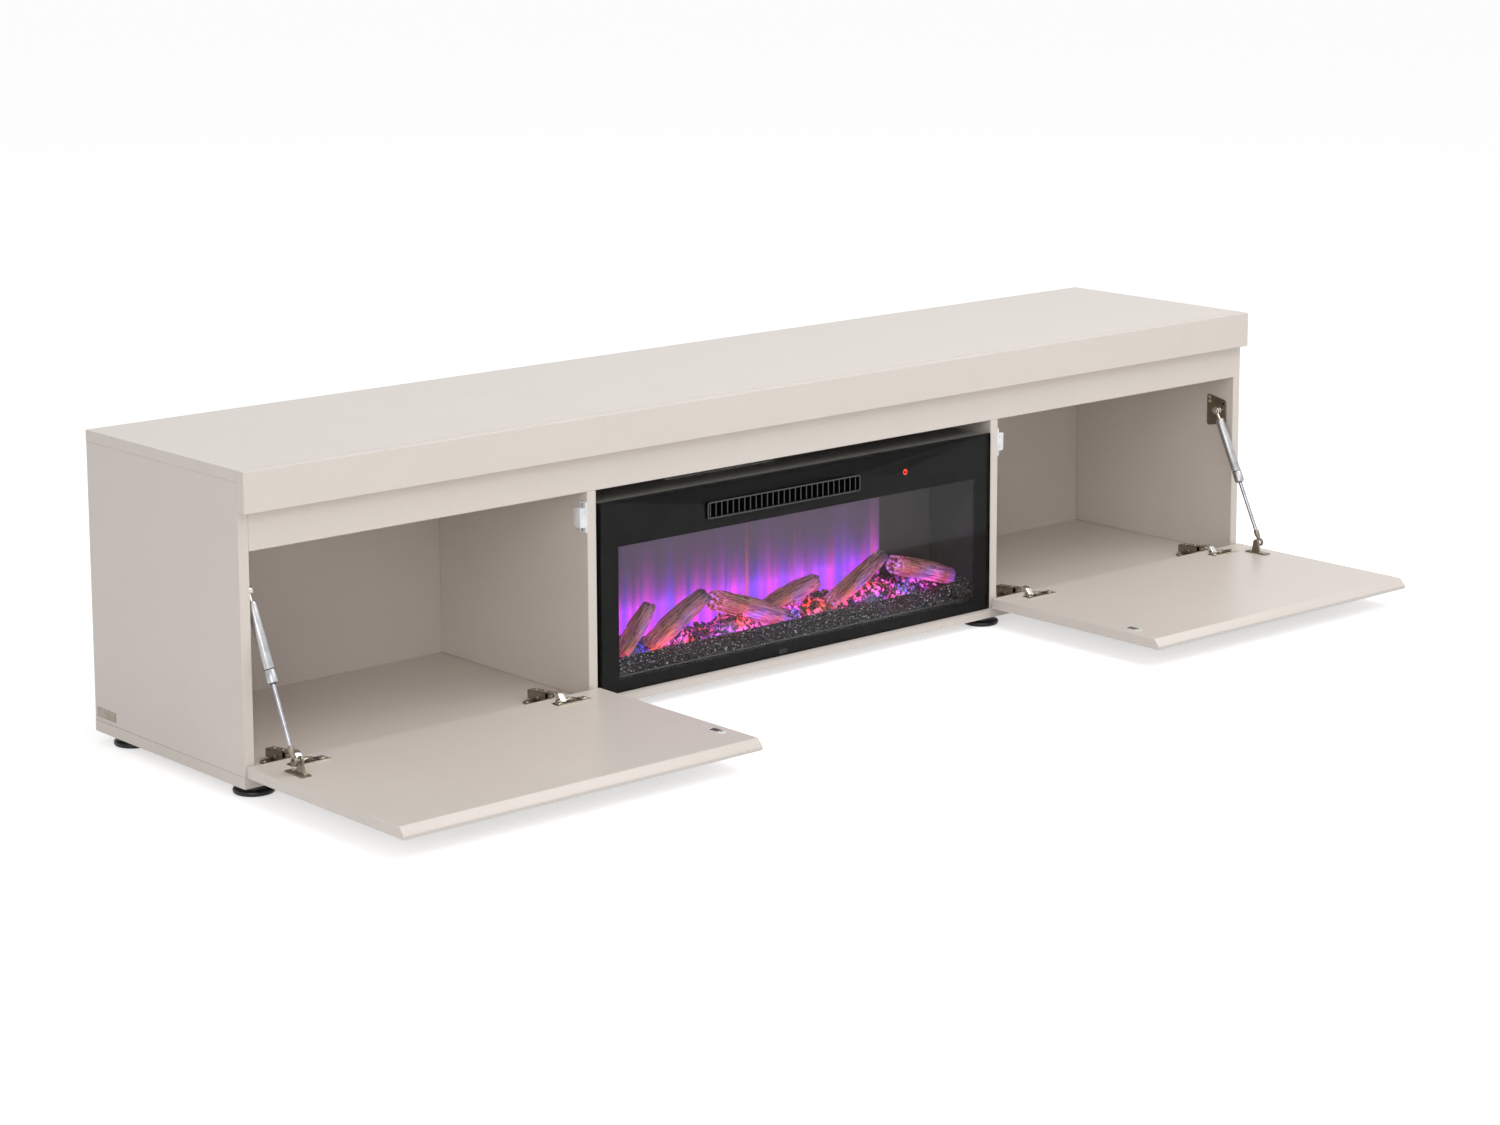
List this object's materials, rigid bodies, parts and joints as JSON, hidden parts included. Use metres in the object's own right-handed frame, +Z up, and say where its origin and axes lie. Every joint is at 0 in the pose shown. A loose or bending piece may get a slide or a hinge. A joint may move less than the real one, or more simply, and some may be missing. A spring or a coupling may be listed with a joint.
{
  "type": "fireplace tv stand",
  "caption": "Low, long television stand with drop-down flap compartments on gas struts at the ends and an electric fireplace insert behind glass in the middle.",
  "frame": {"origin": "on the ground, under the middle of the whole, open flaps included", "axes": "+X along the stand's length to the right as seen from the front, +Y to the back, +Z up"},
  "size_m": [2.0006, 0.744, 0.447],
  "materials": {
    "cabinet_board": "matt light greige facing",
    "back_board": "matt greige facing",
    "black_plastic": "matt black moulding",
    "plate_metal": "satin",
    "hinge_metal": "satin nickel, slightly brown",
    "bright_steel": "bright plated",
    "strut_silver": "satin silver",
    "white_plastic": "satin white",
    "black_sheet": "satin black",
    "front_glass": "polished, dark",
    "gravel": "crushed, glittering",
    "log_resin": "rough bark",
    "screen_plastic": "frosted, lit purple",
    "mirror_strip": "polished strips",
    "circuit_board": "satin green"
  },
  "bodies": {
    "cabinet": {"bottom_board": "cabinet_board", "top_board": "cabinet_board", "left_side": "cabinet_board", "right_side": "cabinet_board", "left_divider": "cabinet_board", "right_divider": "cabinet_board", "front_apron": "cabinet_board", "upper_rail": "cabinet_board", "left_back_panel": "back_board", "middle_back_panel": "back_board", "right_back_panel": "back_board", "foot_left_end_front": "black_plastic", "foot_left_end_back": "black_plastic", "foot_left_inner_front": "black_plastic", "foot_left_inner_back": "black_plastic", "foot_right_inner_front": "black_plastic", "foot_right_inner_back": "black_plastic", "foot_right_end_front": "black_plastic", "foot_right_end_back": "black_plastic", "side_plate": "plate_metal", "left_outer_hinge_arm": "hinge_metal", "left_inner_hinge_arm": "hinge_metal", "left_strut_side_bracket": "hinge_metal", "left_catch": "white_plastic", "right_outer_hinge_arm": "hinge_metal", "right_inner_hinge_arm": "hinge_metal", "right_strut_side_bracket": "hinge_metal", "right_catch": "white_plastic", "front_glass": "front_glass", "front_mask": "black_sheet", "outlet_grille": "black_plastic", "fireplace_housing": "black_sheet", "cord_inlet": "black_plastic", "gravel_tray": "gravel", "log_set": "log_resin", "flame_screen": "screen_plastic", "rotor_motor": "black_sheet", "light_bar": "white_plastic", "heater_duct": "black_sheet", "control_board": "circuit_board"},
    "left_hinge_links": {"left_outer_hinge_link": "bright_steel", "left_inner_hinge_link": "bright_steel"},
    "left_flap": {"left_flap": "cabinet_board", "left_outer_hinge_cup": "hinge_metal", "left_inner_hinge_cup": "hinge_metal", "left_strut_flap_bracket": "hinge_metal", "left_strike_plate": "bright_steel"},
    "left_strut_tube": {"left_strut_tube": "strut_silver"},
    "left_strut_rod": {"left_strut_rod": "bright_steel"},
    "right_hinge_links": {"right_outer_hinge_link": "bright_steel", "right_inner_hinge_link": "bright_steel"},
    "right_flap": {"right_flap": "cabinet_board", "right_outer_hinge_cup": "hinge_metal", "right_inner_hinge_cup": "hinge_metal", "right_strut_flap_bracket": "hinge_metal", "right_strike_plate": "bright_steel"},
    "right_strut_tube": {"right_strut_tube": "strut_silver"},
    "right_strut_rod": {"right_strut_rod": "bright_steel"},
    "blower_wheel": {"blower_wheel": "black_plastic"},
    "flame_rotor": {"flame_rotor": "mirror_strip"}
  },
  "joints": [
    {"name": "left_link_turn", "type": "hinge", "parent": "cabinet", "child": "left_hinge_links", "pos_m": [-0.7, -0.00884, 0.04755], "axis": [1, 0, 0], "range_deg": [0, 59]},
    {"name": "left_flap_turn", "type": "hinge", "parent": "left_hinge_links", "child": "left_flap", "pos_m": [-0.7, -0.029, 0.044], "axis": [-1, 0, 0], "range_deg": [0, 145]},
    {"name": "left_strut_swing", "type": "hinge", "parent": "cabinet", "child": "left_strut_tube", "pos_m": [-0.971, 0.013, 0.277], "axis": [1, 0, 0], "range_deg": [0, 23.6]},
    {"name": "left_strut_slide", "type": "slide", "parent": "left_strut_tube", "child": "left_strut_rod", "axis": [0, 0.4301, 0.9028], "range_m": [0, 0.04759]},
    {"name": "right_link_turn", "type": "hinge", "parent": "cabinet", "child": "right_hinge_links", "pos_m": [0.7, -0.00884, 0.04755], "axis": [1, 0, 0], "range_deg": [0, 59]},
    {"name": "right_flap_turn", "type": "hinge", "parent": "right_hinge_links", "child": "right_flap", "pos_m": [0.7, -0.029, 0.044], "axis": [-1, 0, 0], "range_deg": [0, 145]},
    {"name": "right_strut_swing", "type": "hinge", "parent": "cabinet", "child": "right_strut_tube", "pos_m": [0.971, 0.013, 0.277], "axis": [1, 0, 0], "range_deg": [0, 23.6]},
    {"name": "right_strut_slide", "type": "slide", "parent": "right_strut_tube", "child": "right_strut_rod", "axis": [0, 0.4301, 0.9028], "range_m": [0, 0.04759]},
    {"name": "blower_spin", "type": "hinge", "parent": "cabinet", "child": "blower_wheel", "pos_m": [-0.04, 0.072, 0.2862], "axis": [1, 0, 0], "continuous": true},
    {"name": "flame_rotor_spin", "type": "hinge", "parent": "cabinet", "child": "flame_rotor", "pos_m": [0, 0.138, 0.0885], "axis": [1, 0, 0], "continuous": true}
  ],
  "couplings": [
    {"joint": "left_link_turn", "follows": "left_flap_turn", "ratio": 0.37931},
    {"joint": "left_strut_swing", "follows": "left_flap_turn", "ratio": 0.15583},
    {"joint": "left_strut_slide", "follows": "left_flap_turn", "m_per_rad": 0.018015},
    {"joint": "right_link_turn", "follows": "right_flap_turn", "ratio": 0.37931},
    {"joint": "right_strut_swing", "follows": "right_flap_turn", "ratio": 0.15583},
    {"joint": "right_strut_slide", "follows": "right_flap_turn", "m_per_rad": 0.018015}
  ]
}
